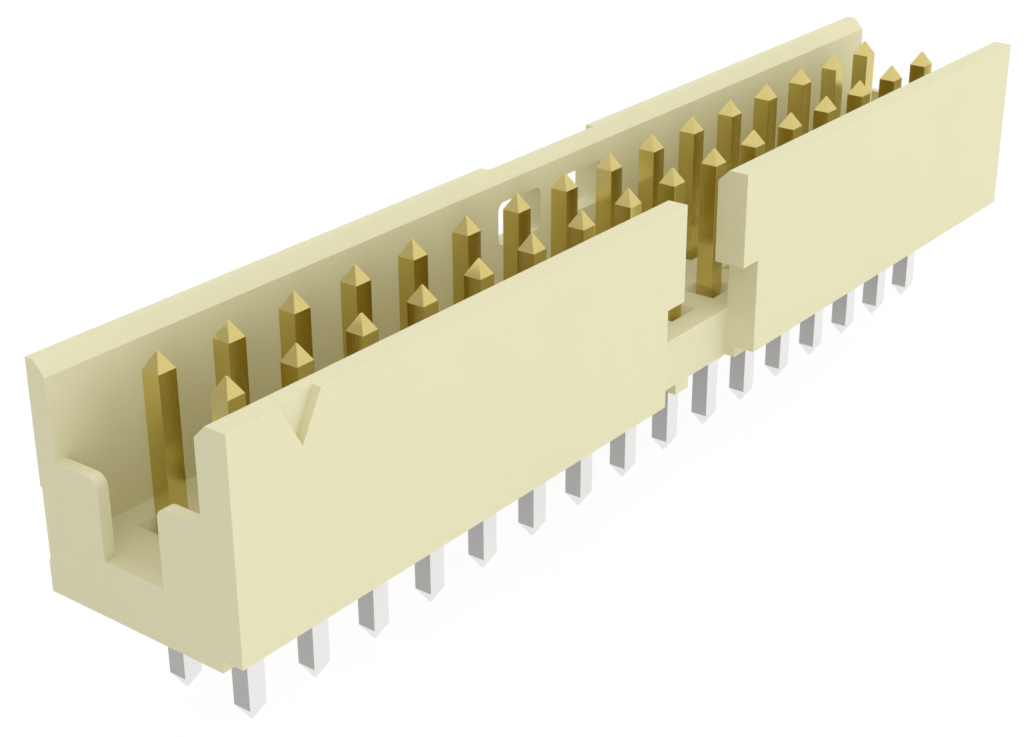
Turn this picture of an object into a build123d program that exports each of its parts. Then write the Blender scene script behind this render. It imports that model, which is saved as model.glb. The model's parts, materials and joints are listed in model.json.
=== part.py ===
from build123d import *
import os

# Straight box header for a circuit board: two rows of square contacts at 2 mm pitch,
# standing in an open moulded shroud. The tails go through the board and are soldered.
#
# Frame, in millimetres: the origin is the middle of the contact grid, on the board's
# surface. +X runs along the rows, +Z points away from the board. The slotted front
# wall with the pin 1 mark is on the -Y side, the wall with the windows on the +Y side.

# Contact grid
pitch = 2.0
row_spacing = 2.0
columns = 16

# Contacts, blanked from strip as thick as they are wide
pin_side = 0.5
pin_top = 5.68
tail_reach = 2.5
point_height = 0.4
point_flat = 0.04
barb_reach = 0.06
barb_width = 0.3
barb_length = 0.5
barb_lead = 0.2
hole_clearance = 0.02
hole_lead_in = 0.12

# Funnel in the floor around each contact, through which the contact was pressed in.
# At the floor it is wider than the contact by these gaps, along and across the row
funnel_end_gap = 0.31
funnel_side_gap = 0.25
funnel_depth = 0.3

# Housing section, across the header
cavity_width = 4.3
front_wall = 0.875
back_wall = 0.565
rim_height = 5.8
rim_chamfer = 0.32
standoff = 0.3
floor_thickness = 1.37
front_relief_depth = 0.575
front_relief_height = 0.3

# Housing ends: a half-height wall with a notch between rounded shoulders
end_margin = 2.0
end_wall = 0.3
end_wall_height = 3.57
end_notch_width = 1.76
shoulder_radius = 0.28

# Keying slot in the front wall: narrow above, wide below
slot_width = 2.8
slot_foot_width = 4.24
slot_step_height = 3.24

# Latch windows in the back wall, side by side about the middle
window_width = 1.81
window_height = 1.19
window_sill = 3.75
window_corner = 0.24
window_gap = 0.98

# Outside of the back wall: ribs beside the windows, rim step above them, label recess
rib_proud = 0.34
rib_width = 0.98
rib_bottom = 3.3
rib_top = 4.94
rib_chamfer = 0.2
rim_step_width = 4.6
rim_step_bottom = 5.04
recess_depth = 0.05
recess_bottom = 1.07
recess_top = 2.82

# Stand-off bars under the floor, a whole number of columns apart about the middle
foot_width = 0.6
foot_count = 3
foot_columns = 7

# Pin 1 mark, a triangle sunk into the front wall beside the first column
mark_width = 1.16
mark_height = 1.05
mark_depth = 0.22

# Places that follow from the sizes above
length = (columns - 1) * pitch + 2 * end_margin
first_column = -(columns - 1) * pitch / 2
front_inner = -cavity_width / 2
front_outer = front_inner - front_wall
back_inner = cavity_width / 2
back_outer = back_inner + back_wall
floor_top = standoff + floor_thickness
relief_top = standoff + front_relief_height
window_offset = (window_gap + window_width) / 2
rib_offset = window_gap / 2 + window_width + rib_width / 2
pin_bottom = -tail_reach
hole_side = pin_side + 2 * hole_clearance
hole_length = floor_thickness - funnel_depth
barb_bottom = standoff + (hole_length - barb_length) / 2
barb_top = barb_bottom + barb_length
column_places = [first_column + column * pitch for column in range(columns)]
contact_places = [(x, row * row_spacing / 2) for x in column_places for row in (-1, 1)]
foot_spacing = foot_columns * pitch
foot_places = [((foot - (foot_count - 1) / 2) * foot_spacing, 0) for foot in range(foot_count)]

# The two retention barbs of a contact at the origin: wedges, wide end up
with BuildPart() as barbs:
    with BuildSketch(Plane.XZ.offset(-barb_width / 2)):
        for side in (-1, 1):
            with BuildLine():
                Polyline(
                    (0, barb_bottom),
                    (side * pin_side / 2, barb_bottom),
                    (side * (pin_side / 2 + barb_reach), barb_bottom + barb_lead),
                    (side * (pin_side / 2 + barb_reach), barb_top),
                    (0, barb_top),
                    close=True,
                )
            make_face()
    extrude(amount=barb_width)

# One contact at the origin: a square bar with a blunt four-sided point at each end
with BuildPart() as contact:
    with BuildSketch(Plane.XY.offset(pin_bottom + point_height)):
        Rectangle(pin_side, pin_side)
    extrude(amount=pin_top - pin_bottom - 2 * point_height)
    for point_end, inward in ((pin_bottom, 1), (pin_top, -1)):
        with BuildSketch(Plane.XY.offset(point_end)):
            Rectangle(point_flat, point_flat)
        with BuildSketch(Plane.XY.offset(point_end + inward * point_height)):
            Rectangle(pin_side, pin_side)
        loft()
    add(barbs.part)

# What one contact cuts out of the floor: its hole, the funnel above, a lead-in below,
# a seat for each barb
with BuildPart() as contact_hole:
    with BuildSketch(Plane.XY.offset(standoff)):
        Rectangle(hole_side, hole_side)
    extrude(amount=hole_length)
    with BuildSketch(Plane.XY.offset(floor_top - funnel_depth)):
        Rectangle(hole_side, hole_side)
    with BuildSketch(Plane.XY.offset(floor_top)):
        Rectangle(pin_side + 2 * funnel_end_gap, pin_side + 2 * funnel_side_gap)
    loft()
    with BuildSketch(Plane.XY.offset(standoff)):
        Rectangle(hole_side + 2 * hole_lead_in, hole_side + 2 * hole_lead_in)
    with BuildSketch(Plane.XY.offset(standoff + hole_lead_in)):
        Rectangle(hole_side, hole_side)
    loft()
    add(barbs.part)

with BuildPart() as housing:
    # One section holds the floor and both long walls, with the rims chamfered inside
    with BuildSketch(Plane.YZ.offset(-length / 2)):
        with BuildLine():
            Polyline(
                (front_outer, relief_top),
                (front_outer, rim_height),
                (front_inner - rim_chamfer, rim_height),
                (front_inner, rim_height - rim_chamfer),
                (front_inner, floor_top),
                (back_inner, floor_top),
                (back_inner, rim_height - rim_chamfer),
                (back_inner + rim_chamfer, rim_height),
                (back_outer, rim_height),
                (back_outer, standoff),
                (front_outer + front_relief_depth, standoff),
                (front_outer + front_relief_depth, relief_top),
                close=True,
            )
        make_face()
    extrude(amount=length)

    # End walls, notched in the middle so that only two rounded shoulders stand
    for end in (-1, 1):
        with BuildSketch(Plane.YZ.offset(end * length / 2)) as end_profile:
            with Locations((0, floor_top)):
                Rectangle(cavity_width, end_wall_height - floor_top, align=(Align.CENTER, Align.MIN))
                Rectangle(
                    end_notch_width,
                    end_wall_height - floor_top,
                    align=(Align.CENTER, Align.MIN),
                    mode=Mode.SUBTRACT,
                )
            shoulders = end_profile.vertices().group_by(Axis.Y)[-1].sort_by(Axis.X)[1:3]
            fillet(shoulders, radius=shoulder_radius)
        extrude(amount=-end * end_wall)

    # Stand-off bars, as long as the cavity is wide
    with BuildSketch(Plane.XY.offset(standoff)):
        with Locations(*foot_places):
            Rectangle(foot_width, cavity_width)
    extrude(amount=-standoff)

    # Keying slot: the whole front wall is open between the floor's edge and the rim
    with BuildSketch(Plane.XZ.offset(-front_inner)):
        with Locations((0, standoff)):
            Rectangle(
                slot_foot_width,
                slot_step_height - standoff,
                align=(Align.CENTER, Align.MIN),
            )
            Rectangle(slot_width, rim_height - standoff, align=(Align.CENTER, Align.MIN))
    extrude(amount=front_wall, mode=Mode.SUBTRACT)

    # Ribs outside the back wall, one between the windows and one beyond each of them
    with BuildSketch(Plane.XZ.offset(-back_outer)):
        with Locations(*[(x, rib_bottom) for x in (-rib_offset, rib_offset)]):
            Rectangle(rib_width, rib_top - rib_bottom, align=(Align.CENTER, Align.MIN))
        with Locations((0, rib_bottom)):
            Rectangle(window_gap, rib_top - rib_bottom, align=(Align.CENTER, Align.MIN))
    extrude(amount=-rib_proud)
    rib_faces = housing.faces().filter_by(Axis.Y).group_by(Axis.Y)[-1]
    chamfer(rib_faces.edges().filter_by(Axis.X), length=rib_chamfer)

    # Latch windows, right through the back wall
    with BuildSketch(Plane.XZ.offset(-back_inner)):
        with Locations(*[(x, window_sill) for x in (-window_offset, window_offset)]):
            Rectangle(window_width, window_height, align=(Align.CENTER, Align.MIN))
        fillet(vertices(), radius=window_corner)
    extrude(amount=-back_wall, mode=Mode.SUBTRACT)

    # Step in the outside of the rim above the windows, as deep as the rim's flat top
    with BuildSketch(Plane.XY.offset(rim_height)):
        with Locations((0, back_inner + rim_chamfer)):
            Rectangle(rim_step_width, back_wall - rim_chamfer, align=(Align.CENTER, Align.MIN))
    extrude(amount=rim_step_bottom - rim_height, mode=Mode.SUBTRACT)

    # Shallow label recess along the outside of the back wall
    with BuildSketch(Plane.XZ.offset(-back_outer)):
        with Locations((0, recess_bottom)):
            Rectangle(length, recess_top - recess_bottom, align=(Align.CENTER, Align.MIN))
    extrude(amount=recess_depth, mode=Mode.SUBTRACT)

    # Pin 1 mark, point down, open at the rim
    with BuildSketch(Plane.XZ.offset(-front_outer)):
        with BuildLine():
            Polyline(
                (first_column - mark_width / 2, rim_height),
                (first_column + mark_width / 2, rim_height),
                (first_column, rim_height - mark_height),
                close=True,
            )
        make_face()
    extrude(amount=-mark_depth, mode=Mode.SUBTRACT)

    # Contact holes through the floor
    with Locations(*contact_places):
        add(contact_hole.part, mode=Mode.SUBTRACT)

housing.part.label = "housing"


# Odd numbers run along the front row from the marked end, even numbers along the back
pins = []
for number, place in enumerate(contact_places, start=1):
    with BuildPart() as pin:
        with Locations(place):
            add(contact.part)
    pin.part.label = f"contact_pin_{number:02d}"
    pins.append(pin.part)

os.makedirs("parts", exist_ok=True)
for piece in [housing.part] + pins:
    export_step(piece, f"parts/{piece.label}.step")
print(f"housing {length:.1f} long, {back_outer - front_outer:.2f} wide over the walls")
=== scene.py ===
# %% [markdown]
# # Dressing a box header for a circuit board
#
# This lesson gives a small connector its finish. The real thing is an open shroud,
# moulded in one shot from an ivory thermoplastic, with two rows of square contacts
# pressed through its floor. The contacts are stamped from copper alloy strip, gold plated
# where the socket slides on and tin plated where they are soldered.
#
# The shapes come from a CAD model, which is loaded first and never moved. Its origin is
# the middle of the contact grid, on the board's surface. X runs along the rows and Z
# points away from the board, and everything here keeps to that. What is left to do is
# what a CAD model doesn't hold: the soft edges that a mould and a stamping die leave, the
# grain of the plastic, the two platings, and a calm studio.

# %% Load the CAD model
import json
import math

import bmesh
import bpy
from mathutils import Matrix, Vector

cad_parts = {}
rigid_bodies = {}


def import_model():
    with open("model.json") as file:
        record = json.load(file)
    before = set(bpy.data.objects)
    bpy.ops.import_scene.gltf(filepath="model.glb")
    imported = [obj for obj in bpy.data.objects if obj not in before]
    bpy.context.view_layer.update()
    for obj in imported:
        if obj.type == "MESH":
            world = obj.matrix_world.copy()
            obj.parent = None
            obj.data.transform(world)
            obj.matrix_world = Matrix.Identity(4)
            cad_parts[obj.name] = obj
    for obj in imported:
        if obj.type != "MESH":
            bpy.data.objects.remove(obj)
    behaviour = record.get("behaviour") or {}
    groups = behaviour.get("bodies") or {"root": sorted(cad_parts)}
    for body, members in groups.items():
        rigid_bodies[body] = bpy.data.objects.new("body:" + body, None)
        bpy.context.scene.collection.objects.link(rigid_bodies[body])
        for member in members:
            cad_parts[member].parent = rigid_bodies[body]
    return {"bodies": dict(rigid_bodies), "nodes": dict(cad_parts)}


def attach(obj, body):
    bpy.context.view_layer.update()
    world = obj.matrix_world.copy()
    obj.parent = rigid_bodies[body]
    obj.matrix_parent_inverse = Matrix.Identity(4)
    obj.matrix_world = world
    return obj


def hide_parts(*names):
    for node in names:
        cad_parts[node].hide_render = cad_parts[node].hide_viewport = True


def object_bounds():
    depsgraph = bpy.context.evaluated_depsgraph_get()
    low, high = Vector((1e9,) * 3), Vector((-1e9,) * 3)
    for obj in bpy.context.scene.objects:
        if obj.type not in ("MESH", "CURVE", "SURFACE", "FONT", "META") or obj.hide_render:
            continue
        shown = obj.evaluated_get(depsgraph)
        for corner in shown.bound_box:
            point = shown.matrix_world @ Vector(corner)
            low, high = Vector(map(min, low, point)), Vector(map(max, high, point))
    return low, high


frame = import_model()
cad_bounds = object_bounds()
print("CAD pieces:", len(frame["nodes"]))

# %% [markdown]
# ## Units and colours
#
# Blender works in metres and in linear light. A connector is easier to think about in
# millimetres, and a colour is easier to read as the hex value that a screen shows, so
# one constant and one function do the two conversions.

# %% Units and colours
MM = 0.001


def linear(hex_colour):
    """Turn an sRGB hex colour such as E5E1BB into linear RGB with an alpha of 1."""
    channels = [int(hex_colour[i:i + 2], 16) / 255 for i in (0, 2, 4)]
    curve = [c / 12.92 if c <= 0.04045 else ((c + 0.055) / 1.055) ** 2.4 for c in channels]
    return (*curve, 1.0)


WHITE = linear("FFFFFF")
print("Ivory in linear light:", [round(c, 3) for c in linear("E5E1BB")])

# %% [markdown]
# ## A helper for nodes
#
# Every material, and the world too, is a small tree of nodes. This function adds one
# node, sets its options, and fills or links its inputs. An input is named by its label,
# or by its place in the list where a node has several with one label. A Mix node is such
# a case: it has one set of sockets for plain numbers, one for vectors and one for
# colours, all with the same labels.

# %% Add one node
MIX_FIRST_COLOUR = 6
MIX_SECOND_COLOUR = 7
MIX_RESULT_COLOUR = 2


def add_node(tree, kind, settings=None, inputs=None):
    """Add a node, set its options, and give each named input a value or a link."""
    node = tree.nodes.new(kind)
    for name, value in (settings or {}).items():
        setattr(node, name, value)
    for name, value in (inputs or {}).items():
        if isinstance(value, bpy.types.NodeSocket):
            tree.links.new(value, node.inputs[name])
        else:
            node.inputs[name].default_value = value
    return node


def new_material(name):
    """Make an empty material and return it with its tree and its output node."""
    material = bpy.data.materials.new(name)
    material.use_nodes = True
    material.node_tree.nodes.clear()
    output = add_node(material.node_tree, "ShaderNodeOutputMaterial")
    return material, material.node_tree, output


# %% [markdown]
# ## Ivory moulded plastic: the colour
#
# Headers like this are moulded in a glass-filled nylon, which takes the heat of
# soldering. The glass gives the ivory a faint, wandering change of tone. A photograph of
# plastic could show that, but it would have to be wrapped round the part and would blur
# up close. A slow noise that fades between two close ivories needs no wrapping.

# %% Ivory moulded plastic: the colour
IVORY_DEEP = linear("E5E1BB")
IVORY_PALE = linear("E8E4BF")
TONE_PATCH = 2.5 * MM

ivory, tree, output = new_material("glass_filled_nylon_ivory")
place = add_node(tree, "ShaderNodeTexCoord").outputs["Object"]
tone = add_node(tree, "ShaderNodeTexNoise", inputs={
    "Vector": place,
    "Scale": 1 / TONE_PATCH,
    "Detail": 3.0,
    "Roughness": 0.5,
})
ivory_colour = add_node(tree, "ShaderNodeMix", {"data_type": "RGBA"}, {
    "Factor": tone.outputs["Fac"],
    MIX_FIRST_COLOUR: IVORY_DEEP,
    MIX_SECOND_COLOUR: IVORY_PALE,
})
print("Patches of tone:", round(TONE_PATCH / MM, 1), "mm across")

# %% [markdown]
# ## Ivory moulded plastic: the grain
#
# The steel of the mould is spark eroded, and that leaves a very fine grain which makes
# the plastic nearly matt. The grain could be real relief, but it would take millions of
# faces. A bump only tilts the light, which is enough for something so fine. The real
# grain is finer than a pixel of the picture, so it is drawn a little coarser. The eye
# gets an even, dry surface with hardly any shine, so the shader's mirror part is turned
# far down, and its roughness is high.

# %% Ivory moulded plastic: the grain
GRAIN_WIDTH = 0.07 * MM
GRAIN_HEIGHT = 0.0015 * MM
GRAIN_STRENGTH = 0.35
MATT_ROUGHNESS = 0.6
MATT_MIRROR_LEVEL = 0.08
NYLON_IOR = 1.53

grain = add_node(tree, "ShaderNodeTexNoise", inputs={
    "Vector": place,
    "Scale": 1 / GRAIN_WIDTH,
    "Detail": 2.0,
    "Roughness": 0.6,
})
grain_bump = add_node(tree, "ShaderNodeBump", inputs={
    "Strength": GRAIN_STRENGTH,
    "Distance": GRAIN_HEIGHT,
    "Height": grain.outputs["Fac"],
})
shader = add_node(tree, "ShaderNodeBsdfPrincipled", inputs={
    "Base Color": ivory_colour.outputs[MIX_RESULT_COLOUR],
    "Roughness": MATT_ROUGHNESS,
    "IOR": NYLON_IOR,
    "Specular IOR Level": MATT_MIRROR_LEVEL,
    "Normal": grain_bump.outputs["Normal"],
})
tree.links.new(shader.outputs["BSDF"], output.inputs["Surface"])
print("Material:", ivory.name)

# %% [markdown]
# ## Contacts: painted shade on the sides along the row
#
# A contact is blanked from strip. Its tin has one colour, and the two sides that face
# along the row are given a darker tin. That darker tin is painted shade: it stands in for
# the dimmer light that those sides mirror, while the metal is the same on every side. The
# sides could be given two materials by hand, face by face. How squarely a surface faces
# along the row tells them apart without that, also from the coined facets of the points,
# which keep the plain tin.

# %% Contacts: painted shade on the sides along the row
PLAIN_TIN = linear("F3F2F1")
# Painted shade: the sides that face along the row get this darker tin, in place of the dimmer
# light they mirror
PAINTED_SHADE_TIN = linear("B1B0AF")
SQUARELY_ALONG_ROW = 0.95

plated, tree, output = new_material("gold_and_tin_plated_contact")
coordinates = add_node(tree, "ShaderNodeTexCoord")
place = coordinates.outputs["Object"]
facing = add_node(tree, "ShaderNodeSeparateXYZ", inputs={"Vector": coordinates.outputs["Normal"]})
along_row = add_node(tree, "ShaderNodeMath", {"operation": "ABSOLUTE"}, {0: facing.outputs["X"]})
# Mask of the sides that face along the row, which carry the painted shade
painted_shade_sides = add_node(tree, "ShaderNodeMath", {"operation": "GREATER_THAN"}, {
    0: along_row.outputs["Value"],
    1: SQUARELY_ALONG_ROW,
})
tin_and_painted_shade = add_node(tree, "ShaderNodeMix", {"data_type": "RGBA"}, {
    "Factor": painted_shade_sides.outputs["Value"],
    MIX_FIRST_COLOUR: PLAIN_TIN,
    MIX_SECOND_COLOUR: PAINTED_SHADE_TIN,
})
# Where the normal's X is over this, the tin carries the painted shade
print("Sheared where the normal's X is over", SQUARELY_ALONG_ROW)

# %% [markdown]
# ## Contacts: gold above, tin below
#
# The contact is plated twice: gold from the floor of the shroud upwards, where the
# socket slides on, and bright tin below, where it is soldered. Two materials with a cut
# through the mesh could show that. The change lies inside the floor, out of sight, so one
# material can hold both and switch between them by height. Both are metals, so they get
# their look from what they mirror, the gold more sharply than the tin.

# %% Contacts: gold above, tin below
PLATING_CHANGE = 1.0 * MM
GOLD = linear("D9C87E")
TIN_ROUGHNESS = 0.34
GOLD_ROUGHNESS = 0.14

height = add_node(tree, "ShaderNodeSeparateXYZ", inputs={"Vector": place}).outputs["Z"]
gold_part = add_node(tree, "ShaderNodeMath", {"operation": "GREATER_THAN"}, {
    0: height,
    1: PLATING_CHANGE,
}).outputs["Value"]
metal_colour = add_node(tree, "ShaderNodeMix", {"data_type": "RGBA"}, {
    "Factor": gold_part,
    MIX_FIRST_COLOUR: tin_and_painted_shade.outputs[MIX_RESULT_COLOUR],
    MIX_SECOND_COLOUR: GOLD,
})
metal_roughness = add_node(tree, "ShaderNodeMapRange", inputs={
    "Value": gold_part,
    "To Min": TIN_ROUGHNESS,
    "To Max": GOLD_ROUGHNESS,
})
print("Gold starts", round(PLATING_CHANGE / MM, 1), "mm above the board")

# %% [markdown]
# ## Contacts: fine lines
#
# Rolls and die leave fine lines along every side of a contact, which spread its mirror
# light a little sideways. They could be cut into the mesh, at a cost of very many faces.
# Here they are a noise that is stretched along Z and drawn as a bump: narrow across the
# side and long along it. The real ones are finer than a pixel of the picture, and these
# are drawn about as wide as one.

# %% Contacts: fine lines
LINE_WIDTH = 0.03 * MM
LINE_LENGTH = 3.0 * MM
LINE_DEPTH = 0.002 * MM
LINE_STRENGTH = 0.4

stretched = add_node(tree, "ShaderNodeMapping", inputs={
    "Vector": place,
    "Scale": (1 / LINE_WIDTH, 1 / LINE_WIDTH, 1 / LINE_LENGTH),
})
fine_lines = add_node(tree, "ShaderNodeTexNoise", inputs={
    "Vector": stretched.outputs["Vector"],
    "Scale": 1.0,
    "Detail": 2.0,
})
line_bump = add_node(tree, "ShaderNodeBump", inputs={
    "Strength": LINE_STRENGTH,
    "Distance": LINE_DEPTH,
    "Height": fine_lines.outputs["Fac"],
})
shader = add_node(tree, "ShaderNodeBsdfPrincipled", inputs={
    "Base Color": metal_colour.outputs[MIX_RESULT_COLOUR],
    "Metallic": 1.0,
    "Roughness": metal_roughness.outputs["Result"],
    "Normal": line_bump.outputs["Normal"],
})
tree.links.new(shader.outputs["BSDF"], output.inputs["Surface"])
print("Material:", plated.name)

# %% [markdown]
# ## From a bmesh to an object
#
# The editor's own operators could build shapes here too, but they depend on what is
# selected and on the mode. A bmesh, which is Blender's mesh for editing in a script,
# doesn't. When a shape is done, it becomes a mesh, and an object shows that mesh in the
# scene.

# %% From a bmesh to an object
def as_object(shape, name):
    """Turn a finished bmesh into an object of the scene, and free the bmesh."""
    mesh = bpy.data.meshes.new(name)
    shape.to_mesh(mesh)
    shape.free()
    new_object = bpy.data.objects.new(name, mesh)
    bpy.context.scene.collection.objects.link(new_object)
    return new_object


# %% [markdown]
# ## Edges that a tool leaves
#
# CAD edges are perfectly sharp, and nothing real is. A small moulding's corners are about
# a hundredth of a millimetre round, and a stamped contact's a little less, which is
# enough to catch a thin line of light. A Bevel modifier could round them too, with a
# weight on each edge that says which ones. A bevel in the script picks its edges
# directly. Each CAD mesh stays as it is. A copy of it is merged, its flat faces are
# joined again, and its corners are bevelled. The copy is worked in millimetres, because
# the bevel's own tolerances are made for bigger things, and is brought back to metres
# after.

# %% Copy a CAD piece and round its edges
MERGE_DISTANCE_IN_MM = 0.0001
FLAT_ANGLE = math.radians(1)
CORNER_ANGLE = math.radians(25)
EDGE_SEGMENTS = 2


def rounded_copy(node, radius, keeps_sharp=None):
    """Return a new object like a CAD node, with its corners rounded by a radius in mm."""
    shape = bmesh.new()
    shape.from_mesh(frame["nodes"][node].data)
    bmesh.ops.scale(shape, vec=(1 / MM,) * 3, verts=shape.verts)
    bmesh.ops.remove_doubles(shape, verts=shape.verts, dist=MERGE_DISTANCE_IN_MM)
    bmesh.ops.dissolve_limit(shape, angle_limit=FLAT_ANGLE, verts=shape.verts, edges=shape.edges)
    corners = [
        edge for edge in shape.edges
        if edge.calc_face_angle(0) > CORNER_ANGLE and not (keeps_sharp and keeps_sharp(edge))
    ]
    bmesh.ops.bevel(
        shape,
        geom=corners,
        offset=radius,
        offset_type="OFFSET",
        affect="EDGES",
        segments=EDGE_SEGMENTS,
        profile=0.5,
        material=-1,
        clamp_overlap=True,
    )
    bmesh.ops.scale(shape, vec=(MM,) * 3, verts=shape.verts)
    open_edges = sum(not edge.is_manifold for edge in shape.edges)
    piece = as_object(shape, node + "_rounded")
    print(f"{piece.name}: {len(piece.data.polygons)} faces, {open_edges} open edges")
    return piece


# %% [markdown]
# ## One body for all
#
# Nothing on a header moves, so every piece rides on the one body of the CAD model. The
# piece takes the place of its CAD node, and its slot says which material of the real
# part it is made of.

# %% Dress a piece
BODY = next(iter(frame["bodies"]))


def dress(piece, node, material):
    """Give a piece its material and let it stand for a CAD node."""
    piece.data.materials.clear()
    piece.data.materials.append(material)
    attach(piece, BODY)
    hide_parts(node)


print("Body:", BODY)

# %% [markdown]
# ## The housing
#
# The shroud is one moulding. It gets its edges rounded everywhere but low inside the
# floor, where the holes grip the contacts and nothing shows. A box round that place, in
# millimetres as the copies are worked, tells those edges apart. The funnels above the
# holes get soft rims too.

# %% The housing
MOULD_RADIUS = 0.01
FLOOR_CORE_LOW = Vector((-16.0, -1.6, 0.2))
FLOOR_CORE_HIGH = Vector((16.0, 1.6, 1.4))


def in_floor_core(edge):
    """True for an edge of a contact hole, inside the floor of the housing."""
    return all(
        FLOOR_CORE_LOW[axis] < vert.co[axis] < FLOOR_CORE_HIGH[axis]
        for vert in edge.verts
        for axis in range(3)
    )


housing = rounded_copy("housing", MOULD_RADIUS, in_floor_core)
dress(housing, "housing", ivory)

# %% [markdown]
# ## The contacts
#
# All the contacts are alike, so one loop makes them. Each stays a piece of its own,
# because each is pressed in by itself.

# %% The contacts
CONTACT_RADIUS = 0.008

contact_nodes = sorted(name for name in frame["nodes"] if name.startswith("contact_pin"))
for node in contact_nodes:
    contact = rounded_copy(node, CONTACT_RADIUS)
    dress(contact, node, plated)
print("Contacts dressed:", len(contact_nodes))

# %% [markdown]
# ## The floor
#
# The connector stands on the points of its tails, on a plain pale floor. A studio would
# let its paper curve up behind the part. Here the world is as white as the floor, so one
# large flat face at the height of the lowest point is enough.

# %% The floor
FLOOR_SIZE = 2.0

low_corner = cad_bounds[0]
floor_level = low_corner[2]
shape = bmesh.new()
bmesh.ops.create_grid(shape, x_segments=1, y_segments=1, size=FLOOR_SIZE / 2)
bmesh.ops.translate(shape, vec=(0, 0, floor_level), verts=shape.verts)
studio_floor = as_object(shape, "studio_floor")
print("Floor height in mm:", round(floor_level / MM, 3))

# %% [markdown]
# ## What a ray sees
#
# A material can ask what kind of ray is looking at it. That lets the floor and the world
# be plain white to the camera, and real paper and soft light to the part. Glass would
# show the same white, so rays through glass count as the camera's. Mirror rays are
# handed out by themselves, because metal may see a little more of the real floor.

# %% What a ray sees
def ray_kinds(tree):
    """Return two sockets, one that is 1 for camera and glass rays and one for mirror rays."""
    ray = add_node(tree, "ShaderNodeLightPath")
    seen = add_node(tree, "ShaderNodeMath", {"operation": "MAXIMUM"}, {
        0: ray.outputs["Is Camera Ray"],
        1: ray.outputs["Is Transmission Ray"],
    })
    return seen.outputs["Value"], ray.outputs["Is Glossy Ray"]


# %% [markdown]
# ## White paper with a soft shadow: how white it is
#
# Plain paper in soft light would come out grey, and pure white would hide the shadow. So
# the camera sees the floor mostly as white, and it runs into the background without an
# edge. A share of real shading is left in it near the connector, to hold the soft
# shadow, and fades with the distance. The distance is halved along the row, because the
# connector is long.

# %% White paper: how white it is
SHADOW_SHARE = 0.09
SHADOW_FULL = 3 * MM
SHADOW_GONE = 18 * MM
SQUEEZE_ALONG_ROW = 0.5
MIRRORED_SHADOW_SHARE = 0.12

floor_paper, tree, output = new_material("white_background_paper")
seen, mirrored = ray_kinds(tree)
squeezed = add_node(tree, "ShaderNodeMapping", inputs={
    "Vector": add_node(tree, "ShaderNodeTexCoord").outputs["Object"],
    "Scale": (SQUEEZE_ALONG_ROW, 1.0, 1.0),
})
distance = add_node(tree, "ShaderNodeVectorMath", {"operation": "LENGTH"}, {
    0: squeezed.outputs["Vector"],
})
plain_white = add_node(tree, "ShaderNodeMapRange", {"interpolation_type": "SMOOTHSTEP"}, {
    "Value": distance.outputs["Value"],
    "From Min": SHADOW_FULL,
    "From Max": SHADOW_GONE,
    "To Min": 1 - SHADOW_SHARE,
    "To Max": 1.0,
})
seen_white = add_node(tree, "ShaderNodeMath", {"operation": "MULTIPLY"}, {
    0: seen,
    1: plain_white.outputs["Result"],
})
mirrored_white = add_node(tree, "ShaderNodeMath", {"operation": "MULTIPLY"}, {
    0: mirrored,
    1: 1 - MIRRORED_SHADOW_SHARE,
})
white_share = add_node(tree, "ShaderNodeMath", {"operation": "MAXIMUM"}, {
    0: seen_white.outputs["Value"],
    1: mirrored_white.outputs["Value"],
})
print("Shading left in the floor:", SHADOW_SHARE)

# %% [markdown]
# ## White paper with a soft shadow: the mix
#
# The white that the camera sees is a touch over full level. That makes up for the real
# paper mixed into it, so that only the shadow itself comes out darker than white.

# %% White paper: the mix
PAPER_WHITE = linear("FAFAFA")
SEEN_WHITE_EXTRA = 0.028

paper = add_node(tree, "ShaderNodeBsdfDiffuse", inputs={"Color": PAPER_WHITE})
white_level = add_node(tree, "ShaderNodeMath", {"operation": "MULTIPLY_ADD"}, {
    0: seen,
    1: SEEN_WHITE_EXTRA,
    2: 1.0,
})
white = add_node(tree, "ShaderNodeEmission", inputs={"Strength": white_level.outputs["Value"]})
mixed = add_node(tree, "ShaderNodeMixShader", inputs={
    0: white_share.outputs["Value"],
    1: paper.outputs["BSDF"],
    2: white.outputs["Emission"],
})
tree.links.new(mixed.outputs["Shader"], output.inputs["Surface"])
studio_floor.data.materials.append(floor_paper)
print("Material:", floor_paper.name)

# %% [markdown]
# ## A grey flag: the card
#
# In an all white room metal has little to mirror, and its facets look alike. A
# photographer stands a grey card, called a flag, beside such a part. This one lies
# beyond the marked end of the connector and is folded up at its far edge. Only mirror
# rays see it, so it neither shows nor casts a shadow. It takes light from the facets that
# lean towards it, on the near contacts more than on the far ones, whose mirror rays pass
# over it. A tongue of it lies behind the part, where a contact in the middle would else
# mirror the white floor through a window.

# %% A grey flag: the card
FLAG_NEAR = -21 * MM
FLAG_FAR = -60 * MM
FLAG_FRONT = -20 * MM
FLAG_BACK = 100 * MM
FLAG_HEIGHT = 64 * MM
FLAG_LIFT = 0.1 * MM
TONGUE_NEAR = -12 * MM
TONGUE_FRONT = 10.5 * MM


def lay_card(card, low, high):
    """Lay a flat rectangle between two corners just above the floor."""
    # A grid's size is half its side, so this one starts as a square with a side of 1
    corners = bmesh.ops.create_grid(card, x_segments=1, y_segments=1, size=0.5)["verts"]
    bmesh.ops.scale(card, vec=(high[0] - low[0], high[1] - low[1], 1), verts=corners)
    middle = ((low[0] + high[0]) / 2, (low[1] + high[1]) / 2, floor_level + FLAG_LIFT)
    bmesh.ops.translate(card, vec=middle, verts=corners)


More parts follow.
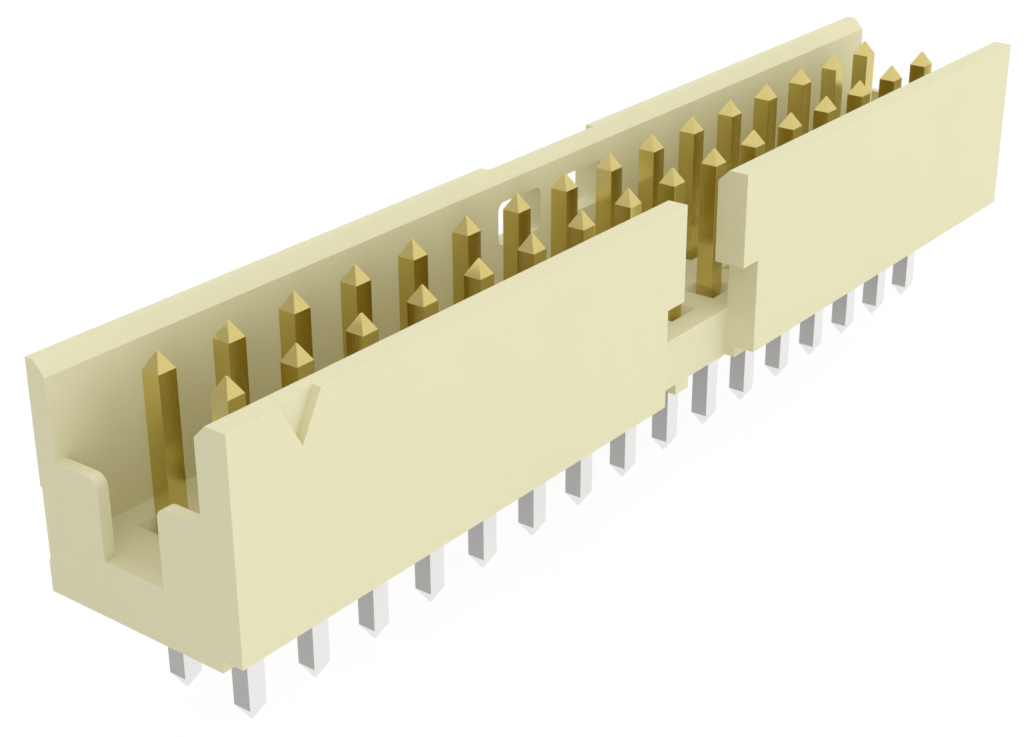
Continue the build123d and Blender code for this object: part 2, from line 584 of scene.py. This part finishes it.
shape = bmesh.new()
lay_card(shape, (FLAG_FAR, FLAG_FRONT), (FLAG_NEAR, FLAG_BACK))
far_edge = min(shape.edges, key=lambda edge: edge.verts[0].co.x + edge.verts[1].co.x)
raised = bmesh.ops.extrude_edge_only(shape, edges=[far_edge])["geom"]
raised_verts = [item for item in raised if isinstance(item, bmesh.types.BMVert)]
bmesh.ops.translate(shape, vec=(0, 0, FLAG_HEIGHT), verts=raised_verts)
lay_card(shape, (FLAG_NEAR, TONGUE_FRONT), (TONGUE_NEAR, FLAG_BACK))
flag = as_object(shape, "grey_flag")
flag.visible_camera = False
flag.visible_diffuse = False
flag.visible_transmission = False
flag.visible_shadow = False
print("Flag faces:", len(flag.data.polygons))

# %% [markdown]
# ## A grey flag: its grey
#
# The contacts should mirror one even grey, wherever the lamps stand. A matt card would
# be lit unevenly, so this one isn't lit, but glows in its grey. Its upper part fades to
# white, so that no facet of a contact shows its edge.

# %% A grey flag: its grey
FLAG_GREY = linear("C6C6C6")
FLAG_FADE = 20 * MM

flag_card, tree, output = new_material("grey_card")
place = add_node(tree, "ShaderNodeTexCoord").outputs["Object"]
height = add_node(tree, "ShaderNodeSeparateXYZ", inputs={"Vector": place}).outputs["Z"]
fade = add_node(tree, "ShaderNodeMapRange", inputs={
    "Value": height,
    "From Min": floor_level + FLAG_HEIGHT - FLAG_FADE,
    "From Max": floor_level + FLAG_HEIGHT,
})
card_colour = add_node(tree, "ShaderNodeMix", {"data_type": "RGBA"}, {
    "Factor": fade.outputs["Result"],
    MIX_FIRST_COLOUR: FLAG_GREY,
    MIX_SECOND_COLOUR: WHITE,
})
glow = add_node(tree, "ShaderNodeEmission", inputs={
    "Color": card_colour.outputs[MIX_RESULT_COLOUR],
    "Strength": 1.0,
})
tree.links.new(glow.outputs["Emission"], output.inputs["Surface"])
flag.data.materials.append(flag_card)
print("Material:", flag_card.name)

# %% [markdown]
# ## Light: the white room
#
# A catalogue picture is lit from everywhere at once. The world is an even, soft white
# that lights the part to less than half of full level. A photograph of a real studio
# could light it too, but an even white is easier to read and to change. Camera, mirror
# and glass rays see the world as plain white.

# %% Light: the white room
WORLD_LEVEL = 0.46

world = bpy.data.worlds.new("white_studio")
world.use_nodes = True
world.node_tree.nodes.clear()
bpy.context.scene.world = world
tree = world.node_tree
seen, mirrored = ray_kinds(tree)
seen_or_mirrored = add_node(tree, "ShaderNodeMath", {"operation": "MAXIMUM"}, {
    0: seen,
    1: mirrored,
})
lighting = add_node(tree, "ShaderNodeBackground", inputs={"Color": WHITE, "Strength": WORLD_LEVEL})
background = add_node(tree, "ShaderNodeBackground", inputs={"Color": WHITE, "Strength": 1.0})
mixed = add_node(tree, "ShaderNodeMixShader", inputs={
    0: seen_or_mirrored.outputs["Value"],
    1: lighting.outputs["Background"],
    2: background.outputs["Background"],
})
add_node(tree, "ShaderNodeOutputWorld", inputs={"Surface": mixed.outputs["Shader"]})
print("World level:", WORLD_LEVEL)

# %% [markdown]
# ## Light: the softboxes
#
# Four large softboxes add the rest of the light: the strongest in front on the right, a
# middling one over the back, and weak ones above and in front on the left. Metal doesn't
# mirror them, because they are hardly brighter than the white room.
#
# A softbox is easier to set by a level than by its power. At a level of 1, a white card
# at the part that faces the softbox would come out white. The power for that follows from
# the share of the card's view which the softbox fills.

# %% Light: the softboxes
SOFTBOX_DISTANCE = 0.25
SOFTBOX_SIZE = 0.30
SOFTBOXES = {
    "front_left_softbox": (Vector((-0.60, -0.65, 0.45)), 0.14),
    "front_right_softbox": (Vector((0.55, -0.70, 0.45)), 0.33),
    "top_softbox": (Vector((0.00, -0.10, 1.00)), 0.11),
    "back_softbox": (Vector((0.15, 0.50, 0.86)), 0.24),
}

# Share of a matt card's view that a square fills which faces it
half_width = SOFTBOX_SIZE / 2 / SOFTBOX_DISTANCE
slant = half_width / math.sqrt(1 + half_width ** 2)
view_share = 4 / math.pi * slant * math.atan(slant)

for name, (direction, level) in SOFTBOXES.items():
    softbox = bpy.data.lights.new(name, "AREA")
    softbox.shape = "SQUARE"
    softbox.size = SOFTBOX_SIZE
    softbox.energy = level * math.pi * SOFTBOX_SIZE ** 2 / view_share
    lamp = bpy.data.objects.new(name, softbox)
    lamp.location = direction.normalized() * SOFTBOX_DISTANCE
    lamp.rotation_euler = direction.to_track_quat("Z", "Y").to_euler()
    lamp.visible_glossy = False
    bpy.context.scene.collection.objects.link(lamp)
    print(f"{name}: {softbox.energy:.3f} W")

# %% [markdown]
# ## Camera
#
# The view looks down on the marked end of the connector, along its long side. A camera
# could be aimed by a constraint at a target. This one is placed by where it stands and
# how it is turned, because its place, its turn and its lens were measured together from
# the edges of the part. The turn starts from a camera that looks along +Y and is level.

# %% Camera
CAMERA_PLACE = Vector((-38.648, -26.696, 21.749)) * MM
CAMERA_AZIMUTH = math.radians(52.14)
CAMERA_ELEVATION = math.radians(24.82)
CAMERA_ROLL = math.radians(-0.20)
CAMERA_LENS = 66.605
SENSOR_WIDTH = 36.0
NEAREST_SEEN = 1 * MM
FARTHEST_SEEN = 10.0

lens = bpy.data.cameras.new("catalogue_camera")
lens.sensor_width = SENSOR_WIDTH
lens.sensor_fit = "HORIZONTAL"
lens.lens = CAMERA_LENS
lens.clip_start = NEAREST_SEEN
lens.clip_end = FARTHEST_SEEN
camera = bpy.data.objects.new("catalogue_camera", lens)
turn = (
    Matrix.Rotation(-CAMERA_AZIMUTH, 4, "Z")
    @ Matrix.Rotation(math.pi / 2 - CAMERA_ELEVATION, 4, "X")
    @ Matrix.Rotation(CAMERA_ROLL, 4, "Z")
)
camera.matrix_world = Matrix.Translation(CAMERA_PLACE) @ turn
bpy.context.scene.collection.objects.link(camera)
bpy.context.scene.camera = camera
bpy.context.scene.view_settings.view_transform = "Standard"
print("Camera at", [round(c / MM, 2) for c in CAMERA_PLACE], "mm")
